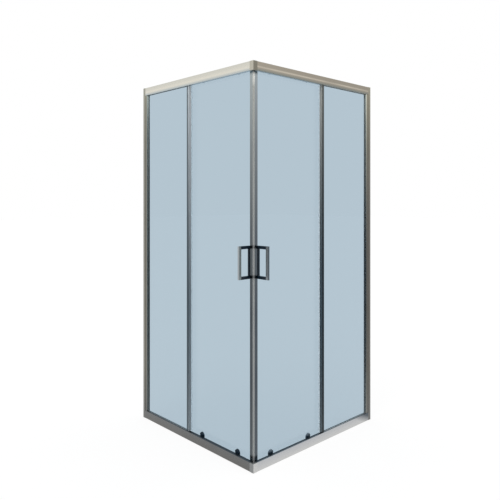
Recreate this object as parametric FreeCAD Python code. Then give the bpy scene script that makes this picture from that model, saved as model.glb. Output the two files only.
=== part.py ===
import FreeCAD, Part
import math
import os
from FreeCAD import Vector

# Square corner-entry shower enclosure: two fixed panes at the walls and two sliding
# doors that meet on a mitred magnet seal at the free corner.
#
# Every piece is drawn once, for the right-hand side, in the side's own directions:
#   a  along the side, from the outer corner towards the wall
#   e  depth, from the outer face of the frame into the cabin
#   z  up from the floor
# The left-hand side is the same side mirrored in the vertical plane through the corner.

# Small turned pieces and screw holes are drawn with flat sides
wheel_sides = 16
bar_sides = 10
screw_sides = 8

# Whole enclosure
side_width = 900.0  # outer corner to wall
height = 1850.0
overrun = 4.0  # how far a cut runs past what it cuts
running_gap = 0.3  # between pieces that pass or seat on each other
shaft_clearance = 0.05  # radial, shaft in its bore
screw_clearance = 0.2  # radial, screw in its hole

# Rail extrusion, the same section upside down at the top
rail_height = 42.0
rail_back_room = 2.0  # nuts on the glass to the rail's inner lip
rail_wall = 1.6
rail_edge_radius = 2.0
chamber_depth = 8.0  # front face to glazing pocket
chamber_rib = 1.5
pocket_width = 8.0
pocket_floor = 29.6  # below the rail's outer face
track_offset = 23.0  # front face to track ridge
track_ridge_height = 5.0
inner_lip_height = 7.0
slot_height_share = 0.36  # middle of the screw slot, of the rail's height
slot_wall = 1.2
slot_depth = 5.5
ridge_round_share = 0.49  # edge radius of the ridge, of its thickness

# Corner joint
corner_leg = 25.0
tongue_length = 20.0

# Frame screws, along the rails
frame_screw_radius = 1.5
frame_screw_length = 26.0
frame_head_radius = 2.6
frame_head_height = 2.4

# Wall channel and side post
channel_width = 20.0
channel_wall = 1.5
wall_hole_radius = 2.5
wall_hole_end_gap = 100.0  # end of the channel to its last hole
post_reveal = 18.0  # post seen between channel and rail
post_in_channel = 13.0
post_wall = 1.7
post_screw_radius = 1.8
post_screw_length = 5.0
post_cap_radius = 5.0
post_cap_height = 2.2
post_screw_height_shares = (0.12, 0.5, 0.88)

# Fixed pane, its stile and soft strips
pane_thickness = 5.0
glass_bite = 13.0  # pane in the post
gasket_wall = 1.5
gasket_proud = 1.0
stile_overlap = 17.5  # door's rear edge past the fixed stile's edge
fixed_stile_width = 15.5
fixed_stile_web = 3.5
fixed_stile_lip = 5.0
lip_wall = 1.5
fin_thickness = 1.2
fin_depth = 5.6
filler_wall = 1.2
filler_leg = 8.0

# Door
door_past_middle = 55.0  # closed door's rear edge beyond the middle of the side
door_wall_gap = 10.0  # open door's rear edge to the wall
door_lip_gap = 3.4  # rail's inner lip to the door's end
door_stile_wall = 4.0
stile_edge_radius = 0.5
front_stile_width = 18.0
seal_face = 7.0  # magnet strip, along the side
mitre_gap = 0.42  # magnet strip to the mitre plane, along the side
barb_width = 2.6
barb_depth = 2.2
barb_clearance = 0.1
door_glass_bite = 5.5
rear_seal_width = 10.0
rear_seal_wall = 1.5
interlock_gap = 1.0  # wall channel to the passing lip
interlock_end_gap = 2.5  # lip's end to the rail's mouth

# Handle
handle_offset = 0.5
handle_width = 10.5
handle_reach = 39.5  # beyond the frame's outer face
grip_thickness = 14.0
base_thickness = 7.0
arm_thickness = 14.0
handle_height = 152.0
handle_center = 939.0
handle_inner_radius = 2.5
handle_edge = 1.2

# Cap screws that hold the handle and the lower housings through the glass
cap_screw_radius = 2.0
cap_screw_hole = 4.0
cap_radius = 5.4
cap_height = 4.5
cap_flange = 1.5
cap_dome_share = 0.62  # radius of the cap's flat top, of its foot
handle_screw_inset = 12.0  # below the top and above the bottom of the handle
cap_screw_bite = 4.0

# Upper carriages
hanger_inset = 103.0  # either end of the door to its nearer carriage
wheel_spacing = 30.0
wheel_radius = 11.0
wheel_groove = 9.5
wheel_width = 6.4
wheel_lead_share = 0.4  # half width of the groove's floor, of half the wheel
axle_radius = 3.0
axle_head_radius = 4.5
axle_head = 0.9
wheel_face_gap = 0.3
wheel_shoulder = 0.8  # upper wheels to the plate behind them
carriage_plate = 3.2
carriage_margin = 8.0
rolling_gap = 0.2
stud_drop = 14.0  # axles to the stud
stud_head_radius = 6.0
stud_head = 2.4
stud_radius = 4.0
stud_clearance = 0.6  # radial, in the glass
stud_cap_radius = 10.0
stud_cap_height = 6.5

# Lower release rollers
roller_radius = 8.0
roller_groove = 6.5
roller_axle_radius = 2.0
roller_axle_head_radius = 3.2
release_travel = 3.0
housing_width = 30.0
housing_rise = 15.0  # seen above the rail
housing_step_rise = 2.5  # above this over the rail the housing is thicker
housing_step_depth = 2.0
housing_lip_gap = 1.5  # fixed stile's lip to the passing housing
housing_roller_gap = 2.7
slider_width = 14.0
slider_thickness = 2.4
button_height = 6.5
button_proud = 1.5
button_radius = 5.0
release_screw_drop = 6.0  # below the rail's top
boss_radius = 3.0
window_width = 7.4
spring_height = 7.6
spring_width = 4.4  # between the bends' middles
spring_depth = 2.0
spring_wire = 0.6
spring_folds = 5

# Door stops on the track
stop_length = 16.0
stop_height = 15.0
stop_gap = 0.5

# Sizes that follow from those above
pocket_front = chamber_depth
pocket_back = pocket_front + pocket_width
rib_back = pocket_back + chamber_rib
pane_front = pocket_front + gasket_wall
pane_back = pane_front + pane_thickness
pane_edge = pocket_floor + gasket_wall
track_back = track_offset + rail_wall
track_center = track_offset + rail_wall / 2
web_near = pocket_floor - rail_wall
ridge = web_near - track_ridge_height

post_start = side_width - channel_width - post_reveal
post_end = side_width - channel_width + post_in_channel
channel_start = side_width - channel_width
post_front = channel_wall + running_gap
post_back = pocket_back + post_wall
channel_back = post_back + running_gap + channel_wall
pane_end = post_start + glass_bite
groove_floor = pane_end + gasket_wall

lip_end = rib_back + fixed_stile_lip
wheel_front = track_center - wheel_width / 2
wheel_back = track_center + wheel_width / 2
plate_front = wheel_back + wheel_shoulder
door_glass_front = plate_front + carriage_plate
door_glass_back = door_glass_front + pane_thickness
door_face = door_glass_front - door_stile_wall
door_back = door_glass_back + door_stile_wall
stile_start = door_face + seal_face
front_stile_end = stile_start + front_stile_width
door_end = side_width / 2 + door_past_middle
door_travel = side_width - door_wall_gap - door_end
glass_start = front_stile_end - door_glass_bite
rear_seal_start = door_end - rear_seal_width
glass_end = door_end - rear_seal_wall
door_bottom = rail_wall + inner_lip_height + door_lip_gap
door_top = height - door_bottom
rail_depth = door_glass_back + stud_cap_height + rail_back_room + chamber_rib
fixed_start = door_end - stile_overlap
fixed_end = fixed_start + fixed_stile_width
pane_start = fixed_start + fixed_stile_web + gasket_wall
hangers = (stile_start + hanger_inset, door_end - hanger_inset)

axle_height = height - ridge + wheel_groove + rolling_gap
stud_height = axle_height - stud_drop
roller_height = ridge - roller_groove - rolling_gap

grip_start = front_stile_end + handle_offset
grip_end = grip_start + handle_width
handle_screws = (
    handle_center - handle_height / 2 + handle_screw_inset,
    handle_center + handle_height / 2 - handle_screw_inset,
)
release_screw_height = rail_height - release_screw_drop
boss_bottom = release_screw_height - boss_radius
boss_top = release_screw_height + boss_radius
slider_front = wheel_back + wheel_face_gap
slider_back = slider_front + slider_thickness
slot_front = slider_front - running_gap
slot_back = slider_back + running_gap
housing_skin = door_glass_front - slot_back
housing_front = lip_end + housing_lip_gap
housing_thin_front = housing_front + housing_step_depth
housing_top = rail_height + housing_rise
housing_step = rail_height + housing_step_rise
housing_base = roller_height + roller_radius + housing_roller_gap
button_base = housing_top + button_proud - button_height
corner_place = -(side_width - handle_reach) / 2


def across(e, z, a=0):
    """A point of a section square to the side."""
    return Vector(a, e, z)


def plan(a, e, z=0):
    """A point of a section seen from above."""
    return Vector(a, e, z)


def front(a, z, e=0):
    """A point of an outline seen from the front."""
    return Vector(a, e, z)


def corner_arc(before, corner, after, radius):
    """Start, middle and end of the arc that rounds a corner."""
    back = (before - corner).normalize()
    on = (after - corner).normalize()
    half_angle = back.getAngle(on) / 2
    inward = (back + on).normalize()
    reach = radius / math.tan(half_angle)
    middle = corner + inward * (radius / math.sin(half_angle) - radius)
    return corner + back * reach, middle, corner + on * reach


def outline(corners, plane, level=0):
    """A closed wire through corners, each (u, v) or, rounded, (u, v, radius)."""
    points = [plane(c[0], c[1], level) for c in corners]
    ends = []
    edges = []
    for i, corner in enumerate(corners):
        here = points[i]
        if len(corner) == 2:
            ends.append((here, here))
            continue
        arc = corner_arc(points[i - 1], here, points[(i + 1) % len(points)], corner[2])
        ends.append((arc[0], arc[2]))
        edges.append(Part.Arc(*arc).toShape())
    for i, (start, _) in enumerate(ends):
        last = ends[i - 1][1]
        if last.distanceToPoint(start) > 0:
            edges.append(Part.makeLine(last, start))
    return Part.Wire(Part.__sortEdges__(edges))


def prism(corners, plane, start, end):
    """The outline extruded square to its plane, from one level to another."""
    direction = plane(0, 0, end - start)
    return Part.Face(outline(corners, plane, start)).extrude(direction)


def block(a_range, e_range, z_range):
    """A box between two values in each direction."""
    low = Vector(a_range[0], e_range[0], z_range[0])
    high = Vector(a_range[1], e_range[1], z_range[1])
    size = high - low
    return Part.makeBox(size.x, size.y, size.z, low)


def rod(radius, start, end):
    """A round bar between two points."""
    return Part.makeCylinder(radius, start.distanceToPoint(end), start, end - start)


def over_flats(radius, sides):
    """Corner radius of the regular polygon whose flats lie at the radius."""
    return radius / math.cos(math.pi / sides)


def turned(profile, a, z, sides):
    """A flat-sided turned piece about the depth direction.

    The profile is a closed run of (e, radius) pairs, radius measured to the corners.
    """
    angles = [2 * math.pi * (side + 1 / 2) / sides for side in range(sides + 1)]
    rings = []
    for e, radius in profile:
        arms = [Vector(math.cos(t), 0, math.sin(t)) * radius for t in angles]
        rings.append([Vector(a, e, z) + arm for arm in arms])
    faces = []
    for i, (_, radius) in enumerate(profile):
        for side in range(sides):
            near = [rings[i][side], rings[i][side + 1]]
            far = [rings[i - 1][side + 1], rings[i - 1][side]]
            if radius == 0:
                near = near[:1]
            if profile[i - 1][1] == 0:
                far = far[:1]
            corners = near + far
            if len(corners) > 2:
                faces.append(Part.Face(Part.makePolygon(corners + corners[:1])))
    solid = Part.Solid(Part.Shell(faces)).removeSplitter()
    if solid.Volume < 0:
        solid.reverse()
    return solid


def bar(radius, start, end, sides=screw_sides):
    """A straight bar with flat sides, its corners on the radius."""
    way = (end - start).normalize()
    aside = Vector(0, 0, 1) if way.z == 0 else Vector(1, 0, 0)
    across_it = way.cross(aside)
    points = []
    for side in range(sides):
        angle = 2 * math.pi * (side + 1 / 2) / sides
        arm = aside * math.cos(angle) + across_it * math.sin(angle)
        points.append(start + arm * radius)
    return Part.Face(Part.makePolygon(points + points[:1])).extrude(end - start)


def bore(radius, start, end, sides=screw_sides):
    """What a flat-sided hole takes out, its flats on the radius."""
    return bar(over_flats(radius, sides), start, end, sides)


def joined(shapes):
    """One solid from pieces that overlap or share faces."""
    return shapes[0].fuse(shapes[1:]).removeSplitter()


def flipped(shape):
    """The shape upside down, for the top of the frame."""
    return shape.mirror(Vector(0, 0, height / 2), Vector(0, 0, 1))


def mirrored(shape):
    """The shape on the other side of the corner."""
    return shape.mirror(Vector(0, 0, 0), Vector(1, -1, 0))


def as_drawn(shape):
    return shape


SIDES = {"right": as_drawn, "left": mirrored}


def save(name, solids):
    """Writes a node: its solids in the part's own frame."""
    node = Part.makeCompound(list(solids))
    node.translate(Vector(corner_place, corner_place, 0))
    node.exportStep("parts/" + name + ".step")


def save_sides(name, solids):
    """Writes the right-hand node and the mirrored left-hand one."""
    for side, place in SIDES.items():
        save(name + "_" + side, [place(s) for s in solids])


def save_both(name, solids):
    """Writes one node that holds both sides' solids."""
    save(name, [place(s) for place in SIDES.values() for s in solids])


# Rails


def mitre_cut():
    """Everything past the mitre plane, which a side's pieces give up."""
    reach = rail_depth + overrun
    start = -overrun
    corners = [(start, start), (reach, reach), (start, reach)]
    return prism(corners, plan, -overrun, height + overrun)


def rail_section():
    """Corners of the bottom rail's section, as (e, z) with radii where it is rounded."""
    ridge_edge = ridge_round_share * rail_wall
    return [
        (0, 0, rail_edge_radius),
        (rail_depth, 0),
        (rail_depth, rail_wall + inner_lip_height),
        (rail_depth - chamber_rib, rail_wall + inner_lip_height),
        (rail_depth - chamber_rib, rail_wall),
        (pocket_front, rail_wall),
        (pocket_front, web_near),
        (track_offset, web_near),
        (track_offset, ridge, ridge_edge),
        (track_back, ridge, ridge_edge),
        (track_back, pocket_floor),
        (rib_back, pocket_floor),
        (rib_back, rail_height),
        (pocket_back, rail_height),
        (pocket_back, pocket_floor),
        (pocket_front, pocket_floor),
        (pocket_front, rail_height),
        (0, rail_height, rail_edge_radius),
    ]


def slot_center():
    """Depth and height of the rail's screw slot."""
    return pocket_front + slot_depth / 2, slot_height_share * rail_height


def bottom_rail():
    """Extrusion with a closed front chamber, glazing pocket, track ridge and screw slot."""
    body = prism(rail_section(), across, corner_leg, channel_start)
    half = frame_screw_radius
    ribs = []
    for low, high in ((-half - slot_wall, -half), (half, half + slot_wall)):
        middle = slot_center()[1]
        ribs.append(
            block(
                (corner_leg, channel_start),
                (pocket_front, pocket_front + slot_depth),
                (middle + low, middle + high),
            )
        )
    chamber = [
        (rail_wall, rail_wall),
        (pocket_front - chamber_rib, rail_wall),
        (pocket_front - chamber_rib, rail_height - rail_wall),
        (rail_wall, rail_height - rail_wall),
    ]
    # the post stands behind the front wall and on the outer web
    room_for_post = block(
        (post_start, channel_start + overrun),
        (rail_wall, rail_depth + overrun),
        (rail_wall, rail_height + overrun),
    )
    hollow = prism(chamber, across, corner_leg - overrun, channel_start + overrun)
    return joined([body] + ribs).cut([hollow, room_for_post, mitre_cut()]).removeSplitter()


def corner_joint():
    """Elbow between two rails: hollow legs, mitred lid, tongues and screw flanges."""
    legs = [
        (0, 0, rail_edge_radius),
        (corner_leg, 0),
        (corner_leg, pocket_front),
        (pocket_front, pocket_front),
        (pocket_front, corner_leg),
        (0, corner_leg),
    ]
    inner = corner_leg - rail_wall
    rib = pocket_front - chamber_rib
    hollow = [
        (rail_wall, rail_wall),
        (inner, rail_wall),
        (inner, rib),
        (rib, rib),
        (rib, inner),
        (rail_wall, inner),
    ]
    lid = block((0, corner_leg), (0, corner_leg), (0, rail_wall))
    lid = lid.cut(block((0, pocket_front), (0, pocket_front), (0, rail_wall)))
    tongue = block(
        (inner, corner_leg + tongue_length),
        (rail_wall + running_gap, rib - running_gap),
        (rail_wall + running_gap, rail_height - rail_wall - running_gap),
    )
    flange = block((inner, corner_leg), (chamber_depth, rib_back), (0, web_near))
    shell = prism(legs, plan, 0, rail_height)
    shell = shell.cut(prism(hollow, plan, rail_wall, rail_height - rail_wall))
    body = joined([shell, lid, tongue, flange, mirrored(tongue), mirrored(flange)])
    e, z = slot_center()
    hole = bore(
        frame_screw_radius + screw_clearance,
        Vector(inner - overrun, e, z),
        Vector(corner_leg + overrun, e, z),
    )
    return body.cut([hole, mirrored(hole)])


def frame_screw(a, direction):
    """Screw along the side, in the rail's slot; its head's seat is at a."""
    e, z = slot_center()
    seat = Vector(a, e, z)
    way = Vector(direction, 0, 0)
    shank = bar(frame_screw_radius - shaft_clearance, seat, seat + way * frame_screw_length)
    head = bar(frame_head_radius, seat - way * frame_head_height, seat, bar_sides)
    return joined([head, shank])


def frame_screws():
    """A screw at each end of each rail, from the corner joint and from the post."""
    screws = [
        frame_screw(corner_leg - rail_wall, 1),
        frame_screw(groove_floor + post_wall, -1),
    ]
    return screws + [flipped(s) for s in screws]


def rail_filler():
    """Snap-in cover strip for the pocket that stays empty beside the doors."""
    low = pocket_front + running_gap
    high = pocket_back - running_gap
    section = [
        (low, rail_height),
        (low, rail_height - filler_leg),
        (low + filler_wall, rail_height - filler_leg),
        (low + filler_wall, rail_height - filler_wall),
        (high - filler_wall, rail_height - filler_wall),
        (high - filler_wall, rail_height - filler_leg),
        (high, rail_height - filler_leg),
        (high, rail_height),
    ]
    return prism(section, across, corner_leg, fixed_start)


def save_frame():
    rail = bottom_rail()
    save_sides("bottom_rail", [rail])
    save_sides("top_rail", [flipped(rail)])
    joint = corner_joint()
    save("bottom_corner_joint", [joint])
    save("top_corner_joint", [flipped(joint)])
    save_both("frame_screws", frame_screws())
    filler = rail_filler()
    save_both("rail_fillers", [filler, flipped(filler)])


# Wall channel and side post


def wall_holes():
    """Heights of the three wall-screw holes."""
    reach = height / 2 - wall_hole_end_gap
    return [height / 2 - reach, height / 2, height / 2 + reach]


def post_screw_place():
    """Middle of the post's run inside the channel."""
    return (channel_start + post_end) / 2


def post_screw_heights():
    return [share * height for share in post_screw_height_shares]


def wall_channel():
    """U channel screwed to the wall; the post slides into it to take up an uneven wall."""
    section = [
        (channel_start, 0),
        (side_width, 0),
        (side_width, channel_back),
        (channel_start, channel_back),
        (channel_start, channel_back - channel_wall),
        (side_width - channel_wall, channel_back - channel_wall),
        (side_width - channel_wall, channel_wall),
        (channel_start, channel_wall),
    ]
    body = prism(section, plan, 0, height)
    cuts = []
    for z in wall_holes():
        start = Vector(side_width - channel_wall - overrun, channel_back / 2, z)
        end = Vector(side_width + overrun, channel_back / 2, z)
        cuts.append(rod(wall_hole_radius, start, end))
    for z in post_screw_heights():
        cuts.append(post_screw_hole(z))
    return body.cut(cuts)


def post_screw_hole(z):
    """Hole through the channel's inner flange and the post's inner wall."""
    a = post_screw_place()
    start = Vector(a, post_back - post_wall - overrun / 2, z)
    return bore(post_screw_radius + screw_clearance, start, Vector(a, channel_back + overrun, z))


def side_post():
    """Post with the pane's groove, a closed front chamber and an open back."""
    front_wall = pocket_front - post_wall
    section = [
        (post_start, post_front),
        (post_end, post_front),
        (post_end, post_front + post_wall),
        (groove_floor + post_wall, post_front + post_wall),
        (groove_floor + post_wall, post_back - post_wall),
        (post_end, post_back - post_wall),
        (post_end, post_back),
        (post_start, post_back),
        (post_start, pocket_back),
        (groove_floor, pocket_back),
        (groove_floor, pocket_front),
        (post_start, pocket_front),
    ]
    chamber = [
        (post_start + post_wall, post_front + post_wall),
        (groove_floor, post_front + post_wall),
        (groove_floor, front_wall),
        (post_start + post_wall, front_wall),
    ]
    body = prism(section, plan, rail_wall, height - rail_wall)
    cuts = [prism(chamber, plan, rail_wall - overrun, height + overrun)]
    e, z = slot_center()
    for level in (z, height - z):
        start = Vector(groove_floor - overrun, e, level)
        end = Vector(groove_floor + post_wall + overrun, e, level)
        cuts.append(bore(frame_screw_radius + screw_clearance, start, end))
    for level in post_screw_heights():
        cuts.append(post_screw_hole(level))
    return body.cut(cuts)


def post_screw(z):
    """Screw with a snap-on cap, from inside the cabin through channel and post."""
    profile = [
        (channel_back - post_screw_length, 0),
        (channel_back - post_screw_length, post_screw_radius),
        (channel_back, post_screw_radius),
        (channel_back, post_cap_radius),
        (channel_back + post_cap_height / 2, post_cap_radius),
        (channel_back + post_cap_height, post_cap_radius * cap_dome_share),
        (channel_back + post_cap_height, 0),
    ]
    return turned(profile, post_screw_place(), z, bar_sides)


def save_wall_pieces():
    save_sides("wall_channel", [wall_channel()])
    save_sides("side_post", [side_post()])
    save_both("post_screws", [post_screw(z) for z in post_screw_heights()])


# Fixed pane


def fixed_pane():
    return block((pane_start, pane_end), (pane_front, pane_back), (pane_edge, height - pane_edge))


def glazing_gaskets():
    """U gaskets round the pane: in both rails, in the post and in the free stile."""
    mouth = rail_height + gasket_proud
    rail_run = [
        (pocket_front, pocket_floor),
        (pocket_back, pocket_floor),
        (pocket_back, mouth),
        (pane_back, mouth),
        (pane_back, pane_edge),
        (pane_front, pane_edge),
        (pane_front, mouth),
        (pocket_front, mouth),
    ]
    bottom = prism(rail_run, across, pane_start - gasket_wall, post_start - gasket_proud)

    def upright(edge, floor, lip):
        section = [
            (lip, pocket_front),
            (floor, pocket_front),
            (floor, pocket_back),
            (lip, pocket_back),
            (lip, pane_back),
            (edge, pane_back),
            (edge, pane_front),
            (lip, pane_front),
        ]
        return prism(section, plan, mouth, height - mouth)

    at_post = upright(pane_end, groove_floor, post_start - gasket_proud)
    at_stile = upright(pane_start, pane_start - gasket_wall, fixed_end + gasket_proud)
    return [bottom, flipped(bottom), at_post, at_stile]


def fixed_stile():
    """Channel on the pane's free edge, with a lip for the fin that meets the door."""
    web_end = fixed_start + fixed_stile_web
    section = [
        (fixed_start, pocket_front - chamber_rib, chamber_rib / 2),
        (fixed_end, pocket_front - chamber_rib),
        (fixed_end, pocket_front),
        (web_end, pocket_front),
        (web_end, pocket_back),
        (fixed_end, pocket_back),
        (fixed_end, rib_back),
        (fixed_start + lip_wall, rib_back),
        (fixed_start + lip_wall, lip_end),
        (fixed_start, lip_end),
    ]
    return prism(section, plan, rail_height, height - rail_height)


def overlap_seal():
    """Soft fin on the stile's lip that reaches the door's rear seal."""
    start = fixed_start + lip_wall
    gap = rear_seal_start - start
    middle = rib_back + fin_depth / 2
    section = [
        (start, rib_back),
        (start + fin_thickness, rib_back),
        (start + fin_thickness, middle),
        (start + gap - running_gap, rib_back + fin_depth - fin_thickness),
        (start + gap - running_gap, rib_back + fin_depth),
        (start, middle + fin_thickness),
    ]
    return prism(section, plan, rail_height, height - rail_height)


def save_fixed_pane():
    save_sides("fixed_glass", [fixed_pane()])
    save_sides("glazing_gasket", glazing_gaskets())
    save_sides("fixed_stile", [fixed_stile()])
    save_both("overlap_seals", [overlap_seal()])


# Door


def door_glass():
    """Pane with holes for the carriages, the handle and the lower housings."""
    pane = block(
        (glass_start, glass_end),
        (door_glass_front, door_glass_back),
        (door_bottom, door_top),
    )
    holes = []
    for a in hangers:
        holes.append(through_glass(stud_radius + stud_clearance, a, stud_height))
        holes.append(through_glass(cap_screw_hole, a, release_screw_height))
    for z in handle_screws:
        holes.append(through_glass(cap_screw_hole, (grip_start + grip_end) / 2, z))
    return pane.cut(holes)


def through_glass(radius, a, z):
    start = Vector(a, door_glass_front - overrun, z)
    return bore(radius, start, Vector(a, door_glass_back + overrun, z), bar_sides)


def barb(width, depth):
    """Foot of the magnet strip, square to the mitred side of the stile."""
    root = Vector((stile_start + stile_start + door_back - door_face) / 2,
                  (door_face + door_back) / 2, 0)
    along = Vector(1, 1, 0).normalize()
    inward = Vector(1, -1, 0).normalize()
    points = [
        root + along * (width / 2) - inward * (seal_face / 2),
        root - along * (width / 2) - inward * (seal_face / 2),
        root - along * (width / 2) + inward * depth,
        root + along * (width / 2) + inward * depth,
    ]
    return prism([(p.x, p.y) for p in points], plan, door_bottom, door_top)


def front_stile():
    """Mitred stile that takes the pane's edge and the magnet strip's barb."""
    slant = door_back - door_face
    section = [
        (stile_start, door_face),
        (front_stile_end, door_face, stile_edge_radius),
        (front_stile_end, door_glass_front),
        (glass_start, door_glass_front),
        (glass_start, door_glass_back),
        (front_stile_end, door_glass_back),
        (front_stile_end, door_back, stile_edge_radius),
        (stile_start + slant, door_back),
    ]
    body = prism(section, plan, door_bottom, door_top)
    return body.cut(barb(barb_width, barb_depth))


def magnet_seal():
    """Magnet strip whose outer face lies just off the mitre plane."""
    slant = door_back - door_face
    section = [
        (door_face + mitre_gap, door_face),
        (stile_start, door_face),
        (stile_start + slant, door_back),
        (door_back + mitre_gap, door_back),
    ]
    strip = prism(section, plan, door_bottom, door_top)
    foot = barb(barb_width - 2 * barb_clearance, barb_depth - barb_clearance)
    beyond = [
        (door_face + mitre_gap, door_face),
        (door_back + mitre_gap, door_back),
        (door_back + side_width, door_back),
        (door_face + side_width, door_face),
    ]
    foot = foot.common(prism(beyond, plan, door_bottom, door_top))
    return joined([strip, foot])


def rear_seal():
    """Clear channel on the door's rear edge; its lip meets the fixed stile's fin."""
    lip_front = channel_back + interlock_gap
    near = door_glass_front - rear_seal_wall
    far = door_glass_back + rear_seal_wall
    section = [
        (rear_seal_start, lip_front),
        (rear_seal_start + lip_wall, lip_front),
        (rear_seal_start + lip_wall, near),
        (door_end, near),
        (door_end, far),
        (rear_seal_start, far),
        (rear_seal_start, door_glass_back),
        (glass_end, door_glass_back),
        (glass_end, door_glass_front),
        (rear_seal_start, door_glass_front),
    ]
    body = prism(section, plan, door_bottom, door_top)
    end = rail_height + interlock_end_gap
    lip_run = (rear_seal_start - overrun, rear_seal_start + lip_wall + overrun)
    low = block(lip_run, (0, near), (0, end))
    return body.cut([low, flipped(low)])


def handle():
    """Square loop that stands out from the door: base, two arms and grip."""
    low = handle_center - handle_height / 2
    high = handle_center + handle_height / 2
    loop = [
        (-handle_reach, low),
        (door_glass_front, low),
        (door_glass_front, high),
        (-handle_reach, high),
    ]
    gap = [
        (grip_thickness - handle_reach, low + arm_thickness, handle_inner_radius),
        (door_glass_front - base_thickness, low + arm_thickness, handle_inner_radius),
        (door_glass_front - base_thickness, high - arm_thickness, handle_inner_radius),
        (grip_thickness - handle_reach, high - arm_thickness, handle_inner_radius),
    ]
    body = prism(loop, across, grip_start, grip_end)
    outer = [
        edge
        for edge in body.Edges
        if edge.BoundBox.XLength < shaft_clearance
        and edge.BoundBox.YMin < door_glass_front - handle_edge
    ]
    body = body.makeChamfer(handle_edge, outer)
    body = body.cut(prism(gap, across, grip_start - overrun, grip_end + overrun))
    holes = []
    for z in handle_screws:
        start = Vector((grip_start + grip_end) / 2, door_glass_front - cap_screw_bite, z)
        end = Vector((grip_start + grip_end) / 2, door_glass_front + overrun, z)
        holes.append(bore(cap_screw_radius, start, end))
    return body.cut(holes)


def cap_screw(a, z, bite):
    """Screw from inside the cabin through the glass, under a domed cap."""
    profile = [
        (door_glass_front - bite, 0),
        (door_glass_front - bite, cap_screw_radius - shaft_clearance),
        (door_glass_back, cap_screw_radius - shaft_clearance),
        (door_glass_back, cap_radius),
        (door_glass_back + cap_flange, cap_radius),
        (door_glass_back + cap_height, cap_radius * cap_dome_share),
        (door_glass_back + cap_height, 0),
    ]
    return turned(profile, a, z, bar_sides)


def cap_screws():
    middle = (grip_start + grip_end) / 2
    screws = [cap_screw(middle, z, cap_screw_bite - shaft_clearance) for z in handle_screws]
    bite = door_glass_front - slot_front - shaft_clearance
    return screws + [cap_screw(a, release_screw_height, bite) for a in hangers]


def save_door():
    save_sides("door_glass", [door_glass()])
    save_sides("front_stile", [front_stile()])
    save_sides("magnet_seal", [magnet_seal()])
    save_sides("rear_seal", [rear_seal()])
    save_sides("handle", [handle()])
    save_sides("cap_screws", cap_screws())


# Upper carriages


def axle_places(a):
    return [a - wheel_spacing / 2, a + wheel_spacing / 2]


def grooved_wheel(a, z, radius, groove, axle):
    """Wheel whose groove runs on the rail's ridge."""
    hole = over_flats(axle + shaft_clearance, wheel_sides)
    lead = wheel_width / 2 * wheel_lead_share
    profile = [
        (wheel_front, hole),
        (wheel_front, radius),
        (track_center - lead, groove),
        (track_center + lead, groove),
        (wheel_back, radius),
        (wheel_back, hole),
    ]
    return turned(profile, a, z, wheel_sides)


def headed_pin(a, z, radius, head_radius, end):
    """Pin for a wheel, from its head in front of the wheel to the piece that carries it."""
    head = wheel_front - wheel_face_gap
    profile = [
        (head - axle_head, 0),
        (head - axle_head, head_radius),
        (head, head_radius),
        (head, radius),
        (end, radius),
        (end, 0),
    ]
    return turned(profile, a, z, bar_sides)


def carriage(a):
    """Rounded plate with two wheel pins; it hangs the door on its stud."""
    corners = [Vector(place, plate_front, axle_height) for place in axle_places(a)]
    corners.append(Vector(a, plate_front, stud_height))
    core = Part.Face(Part.makePolygon(corners + corners[:1]))
    plate = core.makeOffset2D(carriage_margin).extrude(Vector(0, carriage_plate, 0))
    start = Vector(a, plate_front - overrun, stud_height)
    end = Vector(a, door_glass_front + overrun, stud_height)
    plate = plate.cut(bore(stud_radius + shaft_clearance, start, end, bar_sides))
    pins = [
        headed_pin(place, axle_height, axle_radius, axle_head_radius, door_glass_front)
        for place in axle_places(a)
    ]
    return joined([plate] + pins)


def carriage_stud(a):
    """Stud through plate and glass."""
    profile = [
        (plate_front - stud_head, 0),
        (plate_front - stud_head, stud_head_radius),
        (plate_front, stud_head_radius),
        (plate_front, stud_radius),
        (door_glass_back, stud_radius),
        (door_glass_back, 0),
    ]
    return turned(profile, a, stud_height, bar_sides)


def stud_cap(a):
    """Round nut on the cabin side of the glass."""
    profile = [
        (door_glass_back, 0),
        (door_glass_back, stud_cap_radius),
        (door_glass_back + stud_cap_height / 2, stud_cap_radius),
        (door_glass_back + stud_cap_height, stud_cap_radius * cap_dome_share),
        (door_glass_back + stud_cap_height, 0),
    ]
    return turned(profile, a, stud_height, bar_sides)


def save_carriages():
    save_sides("carriages", [carriage(a) for a in hangers])
    studs = [carriage_stud(a) for a in hangers]
    save_sides("carriage_studs", studs + [stud_cap(a) for a in hangers])
    places = [p for a in hangers for p in axle_places(a)]
    for number, place in enumerate(places, start=1):
        wheel = grooved_wheel(place, axle_height, wheel_radius, wheel_groove, axle_radius)
        save_sides("upper_wheel_" + str(number), [wheel])


# Lower release rollers


def housing(a):
    """Tongue-shaped housing on the glass; the release slider runs up and down in it."""
    half = housing_width / 2
    tongue = [
        (a - half, housing_base),
        (a + half, housing_base),
        (a + half, housing_top, half - shaft_clearance),
        (a - half, housing_top, half - shaft_clearance),
    ]
    body = prism(tongue, front, housing_front, door_glass_front)
    slot = slider_width / 2 + running_gap
    low = housing_base - overrun
    high = housing_top + overrun
    step = block(
        (a - housing_width, a + housing_width), (0, housing_thin_front), (low, housing_step)
    )
    run = block((a - slot, a + slot), (slot_front, slot_back), (low, high))
    recess = block(
        (a - slot, a + slot),
        (housing_front + housing_skin, slot_back),
        (button_base - release_travel - running_gap, high),
    )
    start = Vector(a, slot_front, release_screw_height)
    boss = bar(boss_radius, start, Vector(a, slot_back, release_screw_height), bar_sides)
    end = Vector(a, door_glass_front + overrun, release_screw_height)
    pilot = bore(cap_screw_radius, start, end, bar_sides)
    return joined([body.cut([step, run, recess]), boss]).cut(pilot)


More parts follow.
